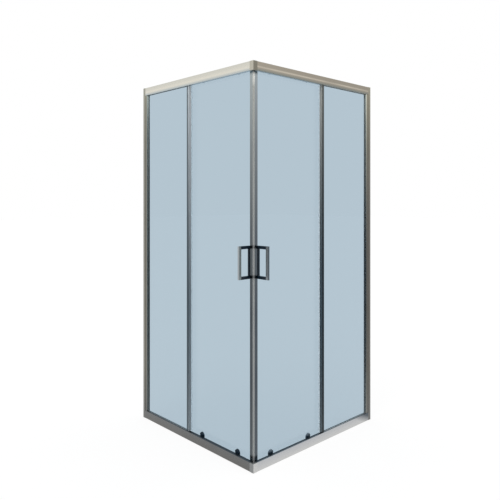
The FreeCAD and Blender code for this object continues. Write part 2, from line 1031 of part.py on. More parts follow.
def slider(a):
    """Flat slider, round about the roller's axle, with the spring's window and a button."""
    half = slider_width / 2
    window_top = boss_top + spring_height + running_gap
    blade = block(
        (a - half, a + half),
        (slider_front, slider_back),
        (roller_height, button_base + running_gap),
    )
    axle_start = Vector(a, slider_front, roller_height)
    round_end = rod(half, axle_start, Vector(a, slider_back, roller_height))
    button = [
        (a - half, button_base),
        (a + half, button_base),
        (a + half, button_base + button_height, button_radius),
        (a - half, button_base + button_height, button_radius),
    ]
    key = housing_front + housing_skin + running_gap
    body = joined([blade, round_end, prism(button, front, key, slider_back)])
    window = block(
        (a - window_width / 2, a + window_width / 2),
        (slider_front - overrun, slider_back + overrun),
        (boss_bottom - running_gap, window_top),
    )
    pin = headed_pin(
        a, roller_height, roller_axle_radius, roller_axle_head_radius, slider_back
    )
    return joined([body.cut(window), pin])


def release_spring(a):
    """Folded strip spring between the housing's boss and the top of the slider's window."""
    rise = spring_height / spring_folds
    run = math.hypot(spring_width, rise) / rise * spring_wire / 2
    middle = [
        (a + spring_width / 2 * (-1) ** fold, boss_top + rise * fold)
        for fold in range(spring_folds + 1)
    ]
    one_side = [(x - run, z) for x, z in middle]
    other_side = [(x + run, z) for x, z in reversed(middle)]
    start = (slider_front + slider_back - spring_depth) / 2
    return prism(one_side + other_side, front, start, start + spring_depth)


def save_release_rollers():
    save_sides("release_housings", [housing(a) for a in hangers])
    for number, a in enumerate(hangers, start=1):
        save_sides("release_slider_" + str(number), [slider(a)])
        save_sides("release_spring_" + str(number), [release_spring(a)])
        wheel = grooved_wheel(
            a, roller_height, roller_radius, roller_groove, roller_axle_radius
        )
        save_sides("lower_wheel_" + str(number), [wheel])


# Door stops


def door_stop(a):
    """Buffer that sits astride the track ridge; a is its end nearer the corner."""
    low = height - web_near
    saddle = running_gap / 2
    body = block((a, a + stop_length), (wheel_front, wheel_back), (low, low + stop_height))
    slot = block(
        (a - overrun, a + stop_length + overrun),
        (track_offset - saddle, track_back + saddle),
        (low - overrun, height - ridge + saddle),
    )
    return body.cut(slot)


def save_stops():
    first = axle_places(hangers[0])[0] - wheel_radius
    last = axle_places(hangers[1])[1] + wheel_radius + door_travel
    stops = [door_stop(first - stop_gap - stop_length), door_stop(last + stop_gap)]
    save_both("door_stops", stops)


def main():
    os.makedirs("parts", exist_ok=True)
    save_frame()
    save_wall_pieces()
    save_fixed_pane()
    save_door()
    save_carriages()
    save_release_rollers()
    save_stops()


main()
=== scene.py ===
# %% [markdown]
# # A corner shower enclosure
# Two sides of glass stand at a right angle, and each has a fixed pane at the wall and
# a sliding door at the free corner. The solids come packed from the CAD part, so this
# lesson is mostly about finishes: extruded aluminium, tinted glass, rubber, moulded
# plastic and chromed caps. A few small turned pieces are made again here with
# rounder forms than the solids have.

# %% Load the frame
import math
from collections import namedtuple

import bpy
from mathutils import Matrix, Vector


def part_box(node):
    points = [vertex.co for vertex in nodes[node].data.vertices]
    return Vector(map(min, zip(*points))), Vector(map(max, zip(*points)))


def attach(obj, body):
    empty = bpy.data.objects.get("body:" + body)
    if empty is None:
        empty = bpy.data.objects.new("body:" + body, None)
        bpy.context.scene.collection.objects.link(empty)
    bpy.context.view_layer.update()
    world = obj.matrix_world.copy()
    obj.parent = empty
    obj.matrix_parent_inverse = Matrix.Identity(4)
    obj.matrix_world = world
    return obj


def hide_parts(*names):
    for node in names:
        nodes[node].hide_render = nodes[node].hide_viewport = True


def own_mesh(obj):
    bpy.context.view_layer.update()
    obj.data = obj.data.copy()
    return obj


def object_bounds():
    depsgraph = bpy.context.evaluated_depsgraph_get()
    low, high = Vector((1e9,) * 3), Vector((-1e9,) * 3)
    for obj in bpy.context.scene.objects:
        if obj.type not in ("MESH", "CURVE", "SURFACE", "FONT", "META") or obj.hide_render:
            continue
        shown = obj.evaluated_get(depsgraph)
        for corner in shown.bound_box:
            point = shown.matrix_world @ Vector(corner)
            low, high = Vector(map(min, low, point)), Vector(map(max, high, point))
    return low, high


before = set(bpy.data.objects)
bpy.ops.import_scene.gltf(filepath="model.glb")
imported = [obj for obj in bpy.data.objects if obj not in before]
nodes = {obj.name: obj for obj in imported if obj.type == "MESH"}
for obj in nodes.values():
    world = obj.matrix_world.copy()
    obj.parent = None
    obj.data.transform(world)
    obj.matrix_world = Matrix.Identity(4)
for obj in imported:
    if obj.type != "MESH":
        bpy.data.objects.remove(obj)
cad_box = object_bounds()
SIDES = ("right", "left")

# %% [markdown]
# ## The camera
# The picture was taken level with chest height, square to the upright edges, so the
# uprights stay parallel. A level camera does the same. The part sits low in the
# frame, which a lens shift gives without tilting the camera.

# %% Camera
CAMERA_PLACE = (-2.1544, -2.2450, 1.2291)
CAMERA_TURN = 43.567  # degrees from +Y towards +X
FOCAL_LENGTH, SENSOR_WIDTH = 40.31, 36.0  # millimetres
LENS_SHIFT = (-0.0075, -0.1023)  # in frame widths

camera_data = bpy.data.cameras.new("camera")
camera_data.sensor_width = SENSOR_WIDTH
camera_data.lens = FOCAL_LENGTH
camera_data.shift_x, camera_data.shift_y = LENS_SHIFT
camera_data.clip_end = 100.0
camera = bpy.data.objects.new("camera", camera_data)
camera.location = CAMERA_PLACE
camera.rotation_euler = (math.radians(90), 0, -math.radians(CAMERA_TURN))
bpy.context.scene.collection.objects.link(camera)
bpy.context.scene.camera = camera
print("camera at", CAMERA_PLACE, "with a lens of", FOCAL_LENGTH, "mm")

# %% [markdown]
# ## Writing shader maths as Python
# A finish is a small tree of nodes. Wrapping an output in a class with the usual
# operators lets a line such as `1 - mask` add its Math node, so a finish reads like
# a formula. The reflected operators at the end are what let a plain number stand
# on the left.


# %% An output with arithmetic
class Signal:
    """One output of a node, with Python's arithmetic."""

    def __init__(self, finish, output):
        self.finish = finish
        self.output = output

    def of(self, name):
        """Another output of the same node."""
        return Signal(self.finish, self.output.node.outputs[name])

    def math(self, operation, *others):
        values = dict(enumerate((self, *others)))
        return self.finish.node("ShaderNodeMath", {"operation": operation}, values)

    def clamped(self):
        """The same value, kept between 0 and 1."""
        return self.math("MAXIMUM", 0.0).math("MINIMUM", 1.0)

    def __add__(self, other):
        return self.math("ADD", other)

    def __sub__(self, other):
        return self.math("SUBTRACT", other)

    def __rsub__(self, other):
        return self.finish.node(
            "ShaderNodeMath", {"operation": "SUBTRACT"}, {0: other, 1: self}
        )

    def __mul__(self, other):
        return self.math("MULTIPLY", other)

    def __truediv__(self, other):
        return self.math("DIVIDE", other)

    __radd__ = __add__
    __rmul__ = __mul__


print("a signal takes +, -, * and /, also after a number")

# %% [markdown]
# ## A material that builds its own nodes
# Shader nodes differ only in type, settings and sockets, so one method makes them
# all. It sets the settings first, because some of them change which sockets a node
# has, and then gives each socket a value or a link. The other methods name what the
# finishes need again and again: a blend, a place on the object, noise and bump.


# %% A material and its nodes
class Finish:
    """A material and the few calls that build its nodes."""

    def __init__(self, name):
        self.material = bpy.data.materials.new(name)
        self.material.use_nodes = True
        self.tree = self.material.node_tree
        self.tree.nodes.clear()

    def node(self, kind, settings=None, sockets=None, out=0):
        """Adds a node: its settings first, then values or links for its sockets."""
        made = self.tree.nodes.new(kind)
        for name, value in (settings or {}).items():
            setattr(made, name, value)
        for name, value in (sockets or {}).items():
            if isinstance(value, Signal):
                self.tree.links.new(value.output, made.inputs[name])
            else:
                made.inputs[name].default_value = value
        return Signal(self, made.outputs[out]) if len(made.outputs) else None

    def blend(self, factor, first, second):
        """A colour between two others."""
        return self.node(
            "ShaderNodeMix", {"data_type": "RGBA"}, {0: factor, 6: first, 7: second}, 2
        )

    def parts(self, name):
        """The x part of a texture coordinate, from which the others can be had."""
        whole = self.node("ShaderNodeTexCoord", out=name)
        return self.node("ShaderNodeSeparateXYZ", None, {0: whole})

    def place(self):
        """Where a point lies on its own side: along it, its depth, and its height.

        The left side mirrors the right one, so the larger of x and y runs along the
        side and the smaller runs into the cabin.
        """
        x = self.parts("Object")
        y = x.of("Y")
        return x.math("MAXIMUM", y), x.math("MINIMUM", y), x.of("Z")

    def noise(self, spot, scale, detail=2.0):
        """Smooth noise from 0 to 1 at a spot, stretched by a scale in each direction."""
        joined = self.node("ShaderNodeCombineXYZ", None, dict(enumerate(spot)))
        stretched = self.node(
            "ShaderNodeVectorMath", {"operation": "MULTIPLY"}, {0: joined, 1: scale}
        )
        sockets = {"Vector": stretched, "Scale": 1.0, "Detail": detail}
        return self.node("ShaderNodeTexNoise", {"normalize": True}, sockets)

    def even_noise(self, spot, scale, detail=2.0):
        """Noise with one scale in all directions."""
        return self.noise(spot, (scale, scale, scale), detail)

    def bump(self, height, strength, distance=0.0002):
        sockets = {"Height": height, "Strength": strength, "Distance": distance}
        return self.node("ShaderNodeBump", None, sockets)

    def principled(self, sockets):
        return self.node("ShaderNodeBsdfPrincipled", None, sockets)

    def mix_shader(self, factor, first, second):
        return self.node("ShaderNodeMixShader", None, {0: factor, 1: first, 2: second})

    def surface(self, shader):
        """Ends the tree, and gives the material."""
        self.node("ShaderNodeOutputMaterial", None, {"Surface": shader})
        return self.material


print("a finish can", ", ".join(name for name in vars(Finish) if not name.startswith("_")))

# %% [markdown]
# ## Tones
# A tone is easiest to name as it looks on a screen, from 0 to 255, but a shader takes
# linear light. The sRGB formula turns one into the other. A CAD node that keeps its
# own mesh only needs its finish put on it.


# %% Tones, and putting a finish on
def tone(red, green, blue):
    """A screen colour, 0 to 255, as the linear colour a shader takes."""
    linear = []
    for level in (red, green, blue):
        share = level / 255
        linear.append(share / 12.92 if share <= 0.04045 else ((share + 0.055) / 1.055) ** 2.4)
    return (*linear, 1.0)


def dress(names, material):
    """Gives CAD nodes their finish."""
    for name in names:
        data = nodes[name].data
        data.materials.clear()
        data.materials.append(material)
    print(material.name, "on", ", ".join(names))


print("a screen level of 128 is", round(tone(128, 128, 128)[0], 3), "in linear light")

# %% [markdown]
# ## Aluminium extrusions
# An extruded bar has faint die lines along its length, and its polish is never quite
# even. Stretched noise gives both: very fine across the bar, very long along it.
# The noise follows a point's place on its own side, so both sides get the same grain
# from one formula, and the frame's own measures say where a rail begins.

# %% Measures of the frame
ALONG_SIDE = (3.0, 700.0, 700.0)  # grain of a rail: along it, into the cabin, up
UPRIGHT = (700.0, 700.0, 3.0)
HEIGHT = cad_box[1][2]
OUTER_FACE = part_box("bottom_rail_right")[0][1]
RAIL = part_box("bottom_rail_right")[1][2]
CHAMBER = 0.0085  # depth of the rail's outer chamber
print("frame", round(HEIGHT, 3), "m high, with rails of", round(RAIL, 3), "m")

# %% [markdown]
# ## Tones that grow with height
# Polished metal takes its tone from what stands round it, so a face towards -X looks
# different from one towards -Y. Here that reflection is painted into the colour, and the
# uprights are painted lighter towards the top, as if they mirrored a bright ceiling. A
# `Way` holds the painted tones of the faces that look one
# way: the low one lies at the waist of the bar and the high one at its top. Its power
# says how late the tone grows, and its fall how much of it returns towards the foot.
# One power curve has no steps to be seen, which a ramp with a few stops would have.

# %% Tones that grow with height
Way = namedtuple("Way", "low high power fall", defaults=(1.0, 1.0))


def grown(finish, share, waist, way):
    """A way's painted tone at a share of the height."""
    off = share - waist
    rise = off.math("MAXIMUM", off * -way.fall) / (1 - waist)
    return finish.blend(rise.math("POWER", way.power), way.low, way.high)


def fading(distance, reach):
    """1 where a distance is nought, down to 0 from its reach on."""
    return (1 - distance / reach).math("MAXIMUM", 0.0)


print("a way has", ", ".join(Way._fields))

# %% [markdown]
# ## The tones of a bar's faces
# The square of the normal's x part chooses between the two ways, and it turns evenly
# from one to the other round a corner. Faces that look up or down get painted reflection
# tones of their own, for a ceiling and a floor. Behind a rail's outer chamber the walls of
# its track are painted pale, painted light over their shade, and its cabin side is plain
# satin metal.

# %% Tones of the faces
CABIN_SIDE = tone(196, 200, 202)


def face_tone(finish, spot, share, waist, to_x, to_y, flat, under, inside):
    """The painted reflection tone of each face, by the way it looks."""
    normal = finish.parts("Normal")
    upward = normal.of("Z")
    seen_x, seen_y = (grown(finish, share, waist, way) for way in (to_x, to_y))
    face = finish.blend(normal * normal, seen_y, seen_x)
    # painted light: the walls of the track behind the outer chamber get a pale tone
    if inside:
        behind = spot[1].math("GREATER_THAN", OUTER_FACE + CHAMBER)
        face = finish.blend(behind, face, inside)
        to_cabin = normal.math("MAXIMUM", normal.of("Y")).math("GREATER_THAN", 0.5)
        face = finish.blend(to_cabin, face, CABIN_SIDE)
    # painted reflections on faces that look down and on faces that look up
    if under:
        flat = finish.blend(upward.math("LESS_THAN", 0.0), flat, under)
    if flat:
        face = finish.blend(upward * upward, face, flat)
    return face


print("cabin side", [round(part, 3) for part in CABIN_SIDE])

# %% [markdown]
# ## The tones of a bar's ends
# An upright gets painted shade just above its foot, and some pieces get a painted
# highlight at the very top. One narrow strip along an edge may get tones of its own,
# picked out by how far along the side it lies.

# %% Tones of the ends
FOOT_SHADE_REACH = 0.16  # all of these are shares of the bar's height
HEAD_HIGHLIGHT_START, HEAD_HIGHLIGHT_FADE = 0.94, 0.02


def end_tones(finish, spot, share, waist, face, foot, head, edge):
    """The faces' tones, with painted shade at the foot, a painted highlight at the head and one
    edge strip's tones over them.
    """
    # painted shade just above the foot
    if foot:
        face = finish.blend(fading(share, FOOT_SHADE_REACH), face, foot)
    # painted highlight at the very top
    if head:
        face = finish.blend(((share - HEAD_HIGHLIGHT_START) / HEAD_HIGHLIGHT_FADE).clamped(), face, head)
    # a strip along one edge with tones of its own; on the wall profiles these are painted shade
    # on the left and a painted highlight on the right
    if edge:
        start, end, way = edge
        within = spot[0].math("GREATER_THAN", OUTER_FACE + start)
        within = within * spot[0].math("LESS_THAN", OUTER_FACE + end)
        face = finish.blend(within, face, grown(finish, share, waist, way))
    return face


print("the foot's tone fades over", FOOT_SHADE_REACH, "of the height")

# %% [markdown]
# ## Wear and painted light on a bar
# The fine lines darken the metal a little and thin dust lightens it. A rail has three
# painted marks more: a painted highlight along its middle, broken up by the dust's own
# patches, a painted reflection of the glass along its low edge, and for the rail on the
# floor a wedge of painted shade towards the wall.

# %% Wear and painted light
LINE_DEPTH, LINE_TONE = 0.08, tone(70, 72, 74)
DUST_TONE, PATCH_SCALE = tone(228, 228, 224), 6.0  # patches about 17 cm across
# a painted highlight along a rail's middle, its step
HIGHLIGHT_MIDDLE, HIGHLIGHT_REACH, HIGHLIGHT_TONE = 0.43, 0.13, tone(236, 226, 208)
# a painted reflection of the glass along a rail's low edge
HEM_REFLECTION_REACH, HEM_REFLECTION_POWER, HEM_REFLECTION_STRENGTH = 0.28, 0.7, 0.85
SHADE_START, SHADE_LENGTH, SHADE_TONE = 0.31, 0.1, tone(60, 70, 79)  # metres


def wear_and_painted_light(finish, spot, share, face, lines, patches, dust, step, hem, end_shade):
    """The faces' tones under lines and dust, with a rail's painted highlight, painted
    reflection and painted shade.
    """
    color = finish.blend(lines * LINE_DEPTH, face, LINE_TONE)
    color = finish.blend(patches * dust, color, DUST_TONE)
    # painted highlight along the rail's middle
    if step:
        off = (share - HIGHLIGHT_MIDDLE).math("ABSOLUTE")
        color = finish.blend(fading(off, HIGHLIGHT_REACH) * (patches * step), color, HIGHLIGHT_TONE)
    # painted reflection along the rail's low edge
    if hem:
        low_edge_reflection = fading(share, HEM_REFLECTION_REACH).math("POWER", HEM_REFLECTION_POWER)
        color = finish.blend(low_edge_reflection * HEM_REFLECTION_STRENGTH, color, hem)
    if end_shade:
        wedge = (spot[0] - SHADE_START) / SHADE_LENGTH + share - 1
        color = finish.blend(wedge.clamped() * end_shade, color, SHADE_TONE)
    return color


print("a rail's step lies", HIGHLIGHT_MIDDLE, "up its face")

# %% [markdown]
# ## One finish for every bar
# All extruded bars share one finish with different painted reflection tones, so that they
# look like metal from the same die shop. Small bars seen at a slant are made less metallic:
# a mirror that thin would show only noise.


# %% Extruded metal
def extruded(
    name,
    to_x,
    to_y,
    grain,
    span=(0.0, HEIGHT),
    waist=0.0,
    flat=tone(84, 94, 101),
    under=None,
    inside=None,
    foot=None,
    head=None,
    edge=None,
    step=0.0,
    hem=None,
    end_shade=0.0,
    dust=0.06,
    metallic=1.0,
    roughness=0.17,
    shine=0.5,
):
    """Extruded bar, with its painted reflection tones for faces towards X and for faces towards
    Y.

    span: the heights between which its shares are counted, waist: where it is low
    flat, under, inside: painted reflection tones of faces up and faces down, and painted
    light on the walls of the track
    foot, head, edge, hem: painted shade at its foot, a painted highlight at its top, the
    tones of one edge strip and a painted reflection along its low edge
    step, end_shade, dust: how much painted highlight, painted shade and dust it has
    """
    finish = Finish(name)
    spot = finish.place()
    share = ((spot[2] - span[0]) / (span[1] - span[0])).math("MAXIMUM", 0.0)
    face = face_tone(finish, spot, share, waist, to_x, to_y, flat, under, inside)
    face = end_tones(finish, spot, share, waist, face, foot, head, edge)
    lines = finish.noise(spot, grain)
    patches = finish.even_noise(spot, PATCH_SCALE)
    color = wear_and_painted_light(finish, spot, share, face, lines, patches, dust, step, hem, end_shade)
    shader = finish.principled(
        {
            "Base Color": color,
            "Metallic": metallic,
            "Specular IOR Level": shine,
            "Roughness": lines * 0.08 + patches * 0.06 + roughness,
            "Normal": finish.bump(lines, 0.12),
        }
    )
    return finish.surface(shader)


print("grain of a rail", ALONG_SIDE, "and of an upright", UPRIGHT)

# %% [markdown]
# ## The rails
# Four rails hold the two sides: one above and one below each. They are one section in
# one metal, and each has a painted reflection in its colour: the left top rail is painted
# cream, the right one taupe, the left bottom rail grey and the right one silver. Mirrored
# surroundings could be built as cards round the set. The painted reflections are chosen
# here, because they stay right when the part is used elsewhere.

# %% Rails
BOTTOM_SPAN, TOP_SPAN = (0.0, RAIL), (HEIGHT - RAIL, HEIGHT)


def rail_metal(name, low, high, span, **more):
    return extruded(name, Way(low, high), Way(low, high), ALONG_SIDE, span, **more)


# Each rail's tones are painted reflection, its flat and under tones too; its step is a painted
# highlight, its hem a painted reflection of the glass and its inside tone painted light.
cream = rail_metal(
    "rail_painted_cream_reflection",
    tone(226, 223, 211),
    tone(208, 206, 195),
    TOP_SPAN,
    step=0.4,
    hem=tone(166, 176, 180),
    flat=tone(198, 202, 203),
    under=tone(250, 252, 252),
    inside=tone(244, 246, 244),
)
taupe = rail_metal(
    "rail_painted_taupe_reflection",
    tone(150, 143, 130),
    tone(146, 138, 124),
    TOP_SPAN,
    step=0.6,
    hem=tone(116, 122, 118),
    flat=tone(188, 192, 193),
    under=tone(214, 220, 220),
    inside=tone(238, 240, 238),
)
grey = rail_metal(
    "rail_painted_grey_reflection",
    tone(102, 101, 99),
    tone(104, 105, 106),
    BOTTOM_SPAN,
    flat=tone(44, 56, 66),
    inside=tone(240, 242, 243),
)
silver = rail_metal(
    "rail_painted_silver_reflection",
    tone(202, 202, 201),
    tone(184, 186, 189),
    BOTTOM_SPAN,
    end_shade=0.9,
    flat=tone(98, 107, 114),
    inside=tone(240, 242, 243),
)
dress(["top_rail_left"], cream)
dress(["top_rail_right"], taupe)
dress(["bottom_rail_left"], grey)
dress(["bottom_rail_right"], silver)

# %% [markdown]
# ## Uprights at the wall
# A channel is screwed to the wall, and a post slides in it to take up a wall that
# isn't plumb. Both are seen as one narrow profile, painted with reflection tones that grow
# with height and with painted shade at its foot. On the left its inner edge lies in the
# shade of the gasket, so that edge has painted shade of its own; on the right that edge
# has a painted highlight.

# %% Uprights at the wall
WALL_FOOT_SHADE = tone(106, 106, 104)

# painted reflection tones; the edge strip is painted shade on the left and a painted highlight
# on the right
wall_ways = {
    "left": {
        "to_x": Way(tone(132, 130, 122), tone(160, 159, 146), 9.0),
        "to_y": Way(tone(150, 149, 139), tone(250, 248, 232), 9.0),
        "edge": (0.8624, 0.868, Way(tone(34, 44, 46), tone(132, 144, 140), 9.0)),
    },
    "right": {
        "to_x": Way(tone(46, 54, 56), tone(214, 214, 200), 3.0),
        "to_y": Way(tone(100, 97, 92), tone(150, 145, 128), 3.0),
        "edge": (0.8624, 0.869, Way(tone(58, 63, 63), tone(218, 216, 201), 2.6)),
        "waist": 0.38,
    },
}
for side, ways in wall_ways.items():
    metal = extruded("wall_profile_" + side, grain=UPRIGHT, foot=WALL_FOOT_SHADE, **ways)
    dress(["wall_channel_" + side, "side_post_" + side], metal)

# %% [markdown]
# ## Uprights at the fixed panes' free edges
# A slim stile covers the free edge of each fixed pane, with a strip of tones of its own
# towards the door. Both stiles are painted dark at the waist and pale at the top, a painted
# reflection. They are thin and stand at a slant to the light, so most of their painted
# reflection is plain colour.

# %% Uprights at the fixed panes' free edges
EDGE_STRIP = (0.4945, 0.51)  # metres along the side from the free corner
SLIM = {"dust": 0.012, "metallic": 0.15, "shine": 0.1}

# painted reflection tones that grow with height; the edge strip's tones grow with height too
free_ways = {
    "left": {
        "to_x": Way(tone(48, 66, 78), tone(236, 246, 252), 2.3),
        "to_y": Way(tone(144, 157, 165), tone(255, 255, 255), 1.2, 0.5),
        "edge": (*EDGE_STRIP, Way(tone(76, 90, 100), tone(92, 104, 112))),
    },
    "right": {
        "to_x": Way(tone(88, 102, 111), tone(238, 234, 224), 2.4, 0.75),
        "to_y": Way(tone(5, 28, 40), tone(116, 119, 115), 3.0),
        "edge": (*EDGE_STRIP, Way(tone(18, 36, 46), tone(112, 116, 115), 2.0)),
    },
}
for side, ways in free_ways.items():
    metal = extruded("free_stile_" + side, grain=UPRIGHT, waist=0.36, **ways, **SLIM)
    dress(["fixed_stile_" + side], metal)

# %% [markdown]
# ## Uprights on the doors
# The leading edge of each door has a stile that carries the magnet strip. The two
# stiles meet at the free corner and mirror each other, so both get much the same painted
# reflection, growing lighter with height.

# %% Uprights on the doors
# painted reflection tones, swapped between the sides
door_ways = {
    "left": {
        "to_x": Way(tone(60, 68, 74), tone(168, 176, 177), 2.3),
        "to_y": Way(tone(56, 64, 70), tone(116, 122, 124), 2.3),
    },
    "right": {
        "to_x": Way(tone(56, 64, 70), tone(116, 122, 124), 2.3),
        "to_y": Way(tone(64, 73, 82), tone(150, 157, 160), 2.3),
    },
}
for side, ways in door_ways.items():
    metal = extruded("door_stile_" + side, grain=UPRIGHT, waist=0.3, **ways)
    dress(["front_stile_" + side], metal)

# %% [markdown]
# ## The corner joints
# The joints are castings, polished like the rails but a little softer, and a shade
# apart from them, which is how their seams show. The two legs face different ways,
# so each leg gets a painted reflection tone of its own, which changes at the corner.


# %% Corner joints
def casting(name, left, right):
    """Polished casting, one painted reflection tone on each leg."""
    finish = Finish(name)
    x = finish.parts("Object")
    spot = (x, x.of("Y"), x.of("Z"))
    # painted reflection: one tone for each leg
    legs = finish.blend(x.math("GREATER_THAN", x.of("Y")), left, right)
    cloud = finish.even_noise(spot, 45.0, 4.0)
    pits = finish.even_noise(spot, 900.0)
    shader = finish.principled(
        {
            "Base Color": finish.blend(cloud * 0.16, legs, tone(90, 92, 92)),
            "Metallic": 1.0,
            "Roughness": cloud * 0.12 + 0.22,
            "Normal": finish.bump(pits, 0.08),
        }
    )
    return finish.surface(shader)


top_casting = casting("top_casting", tone(190, 186, 172), tone(121, 117, 105))
bottom_casting = casting("bottom_casting", tone(142, 144, 144), tone(204, 204, 203))
dress(["top_corner_joint"], top_casting)
dress(["bottom_corner_joint"], bottom_casting)

# %% [markdown]
# ## Tinted glass
# Safety glass for showers lets most light through and takes a little red out of it.
# A Transparent shader tints what is behind the pane and leaves its shadow soft,
# which real refraction would make slow and dark. Each pane has two faces, so each
# face gets the square root of the pane's tint. How much each face mirrors follows
# Schlick's rule, four hundredths head-on and more at a glance, and is held back to
# about four tenths of that. The Fresnel node won't do here: rays aren't bent in the
# pane, so its back faces would mirror like a prism. The narrow polished edges show
# the deeper colour of the glass.

# %% Glass
PANE_TINT = (0.446, 0.549, 0.624)
HEAD_ON = 0.04  # share of the light that glass mirrors when seen straight on
MIRRORING = 0.37  # the panes mirror about this share of what the rule gives


def pane_finish():
    finish = Finish("tinted_pane")
    drift = finish.noise(finish.place(), (3.0, 3.0, 1.5))
    face_tint = [math.sqrt(part) for part in PANE_TINT]
    clear = finish.node("ShaderNodeBsdfTransparent", None, {"Color": (*face_tint, 1)})
    mirror = finish.node(
        "ShaderNodeBsdfAnisotropic", None, {"Color": (1, 1, 1, 1), "Roughness": 0.03}
    )
    tilt = finish.node("ShaderNodeLayerWeight", None, {"Blend": 0.5}, "Facing")
    schlick = tilt.math("POWER", 5.0) * (1 - HEAD_ON) + HEAD_ON
    face = finish.mix_shader(schlick * (drift * 0.06 + MIRRORING), clear, mirror)
    edge = finish.principled(
        {
            "Base Color": finish.blend(drift, tone(70, 120, 118), tone(96, 148, 142)),
            "Roughness": 0.2,
        }
    )
    on_edge = finish.parts("Normal").of("Z").math("ABSOLUTE").math("GREATER_THAN", 0.5)
    return finish.surface(finish.mix_shader(on_edge, face, edge))


dress([n + s for n in ("door_glass_", "fixed_glass_") for s in SIDES], pane_finish())

# %% [markdown]
# ## Rubber and moulded plastic
# Moulded plastic has a fine skin texture and a low, broad shine, and black rubber a
# dull, slightly dusty skin. Both are two close tones that drift into each other
# under a very fine bump. Where a housing's round top catches the light, a painted
# highlight raises its tone over the last few millimetres.

# %% Moulded pieces
CROWN_HIGHLIGHT_START, CROWN_HIGHLIGHT_FADE = 0.044, 0.012  # heights on a housing, in metres
SKIN_SPREAD = 0.12  # how much the skin's roughness varies


def moulded(name, dark, light, roughness, shine, grain=600.0, relief=0.1, crown=None):
    """Plastic or rubber: a tone that drifts between two, under a fine skin, with a painted
    highlight at its crown if one is given.
    """
    finish = Finish(name)
    spot = finish.place()
    cloud = finish.even_noise(spot, 60.0, 3.0)
    skin = finish.even_noise(spot, grain)
    color = finish.blend(cloud, dark, light)
    # painted highlight over a housing's round top
    if crown:
        crown_highlight = ((spot[2] - CROWN_HIGHLIGHT_START) / CROWN_HIGHLIGHT_FADE).clamped()
        color = finish.blend(crown_highlight, color, crown)
    shader = finish.principled(
        {
            "Base Color": color,
            "Roughness": skin * SKIN_SPREAD + (roughness - SKIN_SPREAD / 2),
            "Specular IOR Level": shine,
            "Normal": finish.bump(skin, relief),
        }
    )
    return finish.surface(shader)


rubber = moulded("black_rubber", tone(24, 28, 31), tone(38, 43, 47), 0.6, 0.25)
carriage_plastic = moulded("carriage_plastic", tone(18, 24, 30), tone(34, 42, 48), 0.4, 0.35)
nylon = moulded("white_nylon", tone(212, 212, 206), tone(232, 231, 226), 0.4, 0.45, 900.0, 0.05)
dress(["door_stops"], rubber)
dress(["carriages_" + side for side in SIDES], carriage_plastic)

# %% Housings and their buttons
# The right housings are painted lighter than the left, as lit and shaded copies of one plastic;
# crown is a painted highlight.
housing_tones = {
    "left": (tone(14, 30, 44), tone(26, 44, 60), tone(46, 60, 72)),
    "right": (tone(26, 44, 58), tone(38, 56, 70), tone(116, 130, 142)),
}
for side, (dark, light, crown) in housing_tones.items():
    plastic = moulded("housing_plastic_" + side, dark, light, 0.3, 0.25, crown=crown)
    sliders = [f"release_slider_{number}_{side}" for number in (1, 2)]
    dress(["release_housings_" + side, *sliders], plastic)

# %% [markdown]
# ## Gaskets, fillers and magnet strips
# These soft strips are extruded too, through the same kind of die, so they take the
# bars' finish, with painted light in tones that grow with height. The gaskets are dull
# rubber, the fillers have a satin face, and the magnet strips are pale plastic over a
# magnet, with a painted highlight at the very top.

# %% Extruded strips
# painted light growing with height; the right gasket is painted lighter than the left, and flat
# is a painted tone for faces up and down
gasket_ways = {
    "left": Way(tone(66, 80, 86), tone(226, 236, 234), 2.3),
    "right": Way(tone(128, 138, 144), tone(255, 255, 248), 1.6),
}
for side, way in gasket_ways.items():
    look = {"flat": tone(150, 160, 165), "metallic": 0.0, "roughness": 0.5}
    gasket = extruded("gasket_" + side, way, way, UPRIGHT, waist=0.4, **look)
    dress(["glazing_gasket_" + side], gasket)

# painted light growing with height
filler_way = Way(tone(38, 46, 54), tone(214, 224, 229), 4.0)
look = {"flat": None, "dust": 0.012, "roughness": 0.3}
dress(["rail_fillers"], extruded("filler_strip", filler_way, filler_way, ALONG_SIDE, **look))

# painted light growing with height, with a painted highlight as the head tone
strip_way = Way(tone(148, 152, 153), tone(186, 188, 181), 5.0)
look = {"head": tone(238, 239, 233), "metallic": 0.5}
magnet = extruded("magnet_strip", strip_way, strip_way, UPRIGHT, **look)
dress(["magnet_seal_" + side for side in SIDES], magnet)

# %% [markdown]
# ## Clear seals
# The strips that close the gap between door and fixed pane are clear soft plastic.
# They only show as a faint milky band, so a little of a pale skin is mixed into a
# Transparent shader.


# %% Clear seals
def clear_plastic(name):
    """Clear soft plastic: mostly see-through, with a faint milky skin."""
    finish = Finish(name)
    cloud = finish.noise(finish.place(), (40.0, 40.0, 8.0), 3.0)
    clear = finish.node("ShaderNodeBsdfTransparent", None, {"Color": (0.985, 0.99, 0.992, 1)})
    skin = finish.principled(
        {
            "Base Color": finish.blend(cloud, tone(196, 206, 212), tone(222, 228, 231)),
            "Roughness": cloud * 0.1 + 0.15,
        }
    )
    return finish.surface(finish.mix_shader(cloud * 0.06 + 0.04, clear, skin))


seals = ["rear_seal_" + side for side in SIDES] + ["overlap_seals"]
dress(seals, clear_plastic("clear_strip"))

# %% [markdown]
# ## The handles
# Each handle is a square loop. Its grip is chromed, and the arms and the base on the
# glass are dark. One finish does both: the depth of a point says which it belongs to.
# The chrome's tones for faces towards X and Y are painted reflection, lighter on the left
# handle than on the right.

# %% Handles
GRIP_BACK = OUTER_FACE - 0.026  # the grip lies in front of this depth


